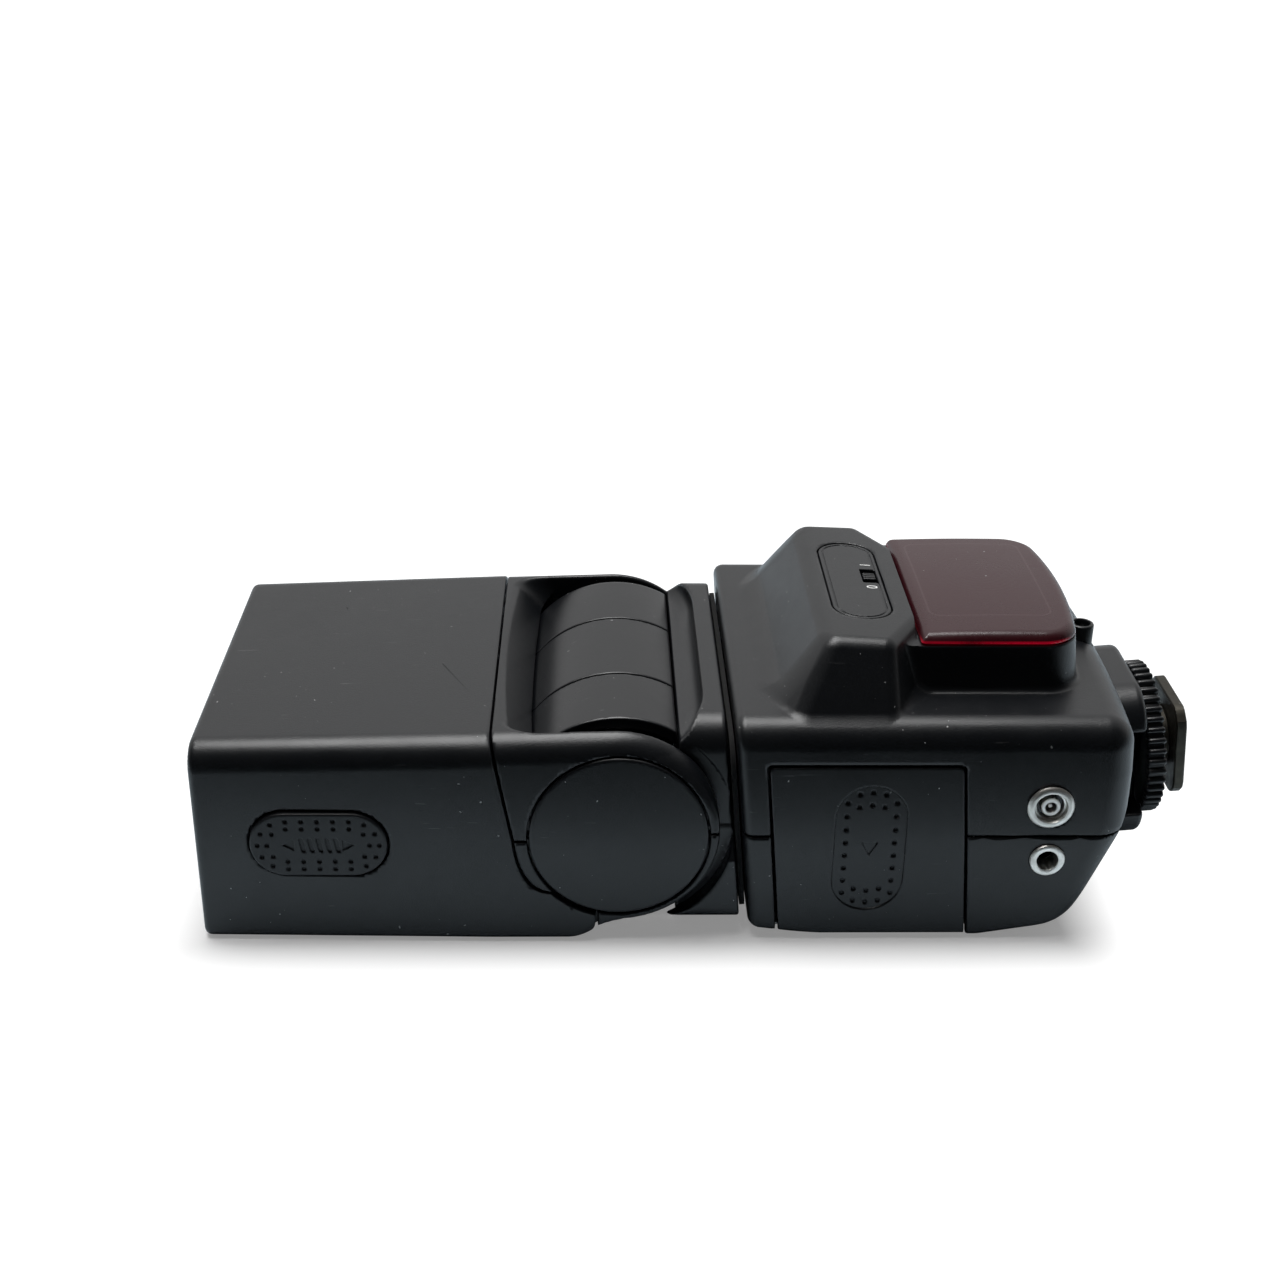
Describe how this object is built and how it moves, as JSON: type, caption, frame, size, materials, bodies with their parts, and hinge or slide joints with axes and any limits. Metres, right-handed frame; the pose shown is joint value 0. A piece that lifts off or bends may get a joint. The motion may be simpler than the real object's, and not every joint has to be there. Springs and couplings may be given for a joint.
{
  "type": "shoe-mount electronic flash",
  "caption": "Shoe-mount electronic flash lying on its back: boxy head on a tilting, swivelling neck, red window, battery door, sync sockets and a screw-locked foot.",
  "frame": {"origin": "middle of the underside, the flash lying on its back with the head in line with the body", "axes": "+X from the lens end of the head to the shoe foot, +Y away from the battery door and the sockets, +Z towards the side with the red window"},
  "size_m": [0.1866, 0.0768, 0.0562],
  "materials": {
    "shell_black": "fine spark texture",
    "trim_black": "satin moulding",
    "pad_black": "soft satin",
    "red_clear": "dark red translucent, lightly grained",
    "lens_clear": "clear, ribbed",
    "card_white": "flat white",
    "reflector_metal": "polished",
    "tube_glass": "clear",
    "steel": "machined",
    "nickel": "plated, lightly tarnished",
    "foot_metal": "bronze grey, worn at the edges",
    "brass": "turned",
    "board_green": "solder mask",
    "cell_cover": "printed sleeve with no lettering",
    "capacitor_can": "sleeved",
    "frame_grey": "plain moulding"
  },
  "bodies": {
    "case": {"body_front_shell": "shell_black", "body_back_shell": "shell_black", "door_hinge_pin": "steel", "case_screw_1": "steel", "case_screw_2": "steel", "battery_bay": "frame_grey", "cell_contacts": "nickel", "main_board": "board_green", "capacitor": "capacitor_can", "aa_cell_1": "cell_cover", "aa_cell_2": "cell_cover", "aa_cell_3": "cell_cover", "aa_cell_4": "cell_cover", "red_window": "red_clear", "sensor_board": "board_green", "sensor_tube": "trim_black", "sensor_eye": "trim_black", "label_plate": "trim_black", "pc_socket_ring": "nickel", "pc_socket_core": "nickel", "jack_socket_ring": "nickel", "jack_socket_body": "trim_black", "control_board": "board_green", "control_panel": "trim_black", "foot_base": "shell_black", "foot_plate": "foot_metal"},
    "neck": {"drum_near": "shell_black", "drum_middle": "shell_black", "drum_far": "shell_black", "neck_collar": "shell_black", "swivel_disc": "trim_black", "swivel_shaft": "steel", "hinge_shaft": "steel"},
    "head": {"head_sleeve": "shell_black", "lens_frame": "trim_black", "front_lens": "lens_clear", "zoom_motor": "steel", "rear_shell_front": "shell_black", "rear_shell_back": "shell_black", "hinge_cap_near": "shell_black", "hinge_cap_far": "shell_black"},
    "near_button": {"lock_button_near": "pad_black"},
    "far_button": {"lock_button_far": "pad_black"},
    "panel": {"wide_panel": "lens_clear"},
    "card": {"bounce_card": "card_white"},
    "carriage": {"reflector": "reflector_metal", "flash_tube": "tube_glass", "zoom_carriage": "frame_grey"},
    "screw": {"zoom_screw": "steel"},
    "door_plate": {"door_hinge_plate": "steel"},
    "door": {"battery_door": "shell_black"},
    "mode_knob": {"slide_switch_knob": "trim_black"},
    "wheel": {"lock_wheel": "trim_black"},
    "washer": {"clamp_washer": "steel"},
    "pin": {"contact_pin": "brass"},
    "test_key": {"test_button": "pad_black"},
    "mode_key": {"mode_button": "pad_black"},
    "plus_key": {"plus_button": "pad_black"},
    "minus_key": {"minus_button": "pad_black"},
    "power_knob": {"power_switch": "pad_black"}
  },
  "joints": [
    {"name": "head_swivel", "type": "hinge", "parent": "case", "child": "neck", "pos_m": [0.00304, 0.00029, 0.022], "axis": [0.9962, 0, 0.0872], "range_deg": [-90, 180]},
    {"name": "head_tilt", "type": "hinge", "parent": "neck", "child": "head", "pos_m": [-0.01766, 0.00029, 0.022], "axis": [0, 1, 0], "range_deg": [0, 90]},
    {"name": "lock_near", "type": "slide", "parent": "head", "child": "near_button", "axis": [0, 1, 0], "range_m": [0, 0.0012], "stiffness_N_per_m": 400},
    {"name": "lock_far", "type": "slide", "parent": "head", "child": "far_button", "axis": [0, -1, 0], "range_m": [0, 0.0012], "stiffness_N_per_m": 400},
    {"name": "wide_panel_slide", "type": "slide", "parent": "head", "child": "panel", "axis": [-1, 0, 0], "range_m": [0, 0.034]},
    {"name": "bounce_card_slide", "type": "slide", "parent": "head", "child": "card", "axis": [-1, 0, 0], "range_m": [0, 0.034]},
    {"name": "zoom_slide", "type": "slide", "parent": "head", "child": "carriage", "axis": [-1, 0, 0], "range_m": [0, 0.009]},
    {"name": "zoom_screw_turn", "type": "hinge", "parent": "head", "child": "screw", "pos_m": [-0.06326, 0.01829, 0.0287], "axis": [1, 0, 0], "range_deg": [0, 540]},
    {"name": "door_swing", "type": "hinge", "parent": "case", "child": "door_plate", "pos_m": [0.02824, -0.03411, 0.0017], "axis": [1, 0, 0], "range_deg": [0, 90]},
    {"name": "door_slide", "type": "slide", "parent": "door_plate", "child": "door", "axis": [0, 0, -1], "range_m": [0, 0.0025]},
    {"name": "mode_switch_slide", "type": "slide", "parent": "case", "child": "mode_knob", "axis": [0, 1, 0], "range_m": [-0.0014, 0.0014]},
    {"name": "lock_wheel_turn", "type": "hinge", "parent": "case", "child": "wheel", "pos_m": [0.08546, 0.00029, 0.02219], "axis": [0.9962, 0, 0.0872], "range_deg": [0, 120]},
    {"name": "clamp_washer_slide", "type": "slide", "parent": "case", "child": "washer", "axis": [0.9962, 0, 0.0872], "range_m": [0, 0.0006]},
    {"name": "contact_pin_press", "type": "slide", "parent": "case", "child": "pin", "axis": [-0.9962, 0, -0.0872], "range_m": [0, 0.0006], "stiffness_N_per_m": 300},
    {"name": "test_press", "type": "slide", "parent": "case", "child": "test_key", "axis": [0, 0, 1], "range_m": [0, 0.0006], "stiffness_N_per_m": 200},
    {"name": "mode_press", "type": "slide", "parent": "case", "child": "mode_key", "axis": [0, 0, 1], "range_m": [0, 0.0006], "stiffness_N_per_m": 200},
    {"name": "plus_press", "type": "slide", "parent": "case", "child": "plus_key", "axis": [0, 0, 1], "range_m": [0, 0.0006], "stiffness_N_per_m": 200},
    {"name": "minus_press", "type": "slide", "parent": "case", "child": "minus_key", "axis": [0, 0, 1], "range_m": [0, 0.0006], "stiffness_N_per_m": 200},
    {"name": "power_slide", "type": "slide", "parent": "case", "child": "power_knob", "axis": [0, 1, 0], "range_m": [-0.0019, 0.0019]}
  ],
  "couplings": [
    {"joint": "zoom_screw_turn", "follows": "zoom_slide", "rad_per_m": 1047.2},
    {"joint": "clamp_washer_slide", "follows": "lock_wheel_turn", "m_per_rad": 0.00028648}
  ]
}
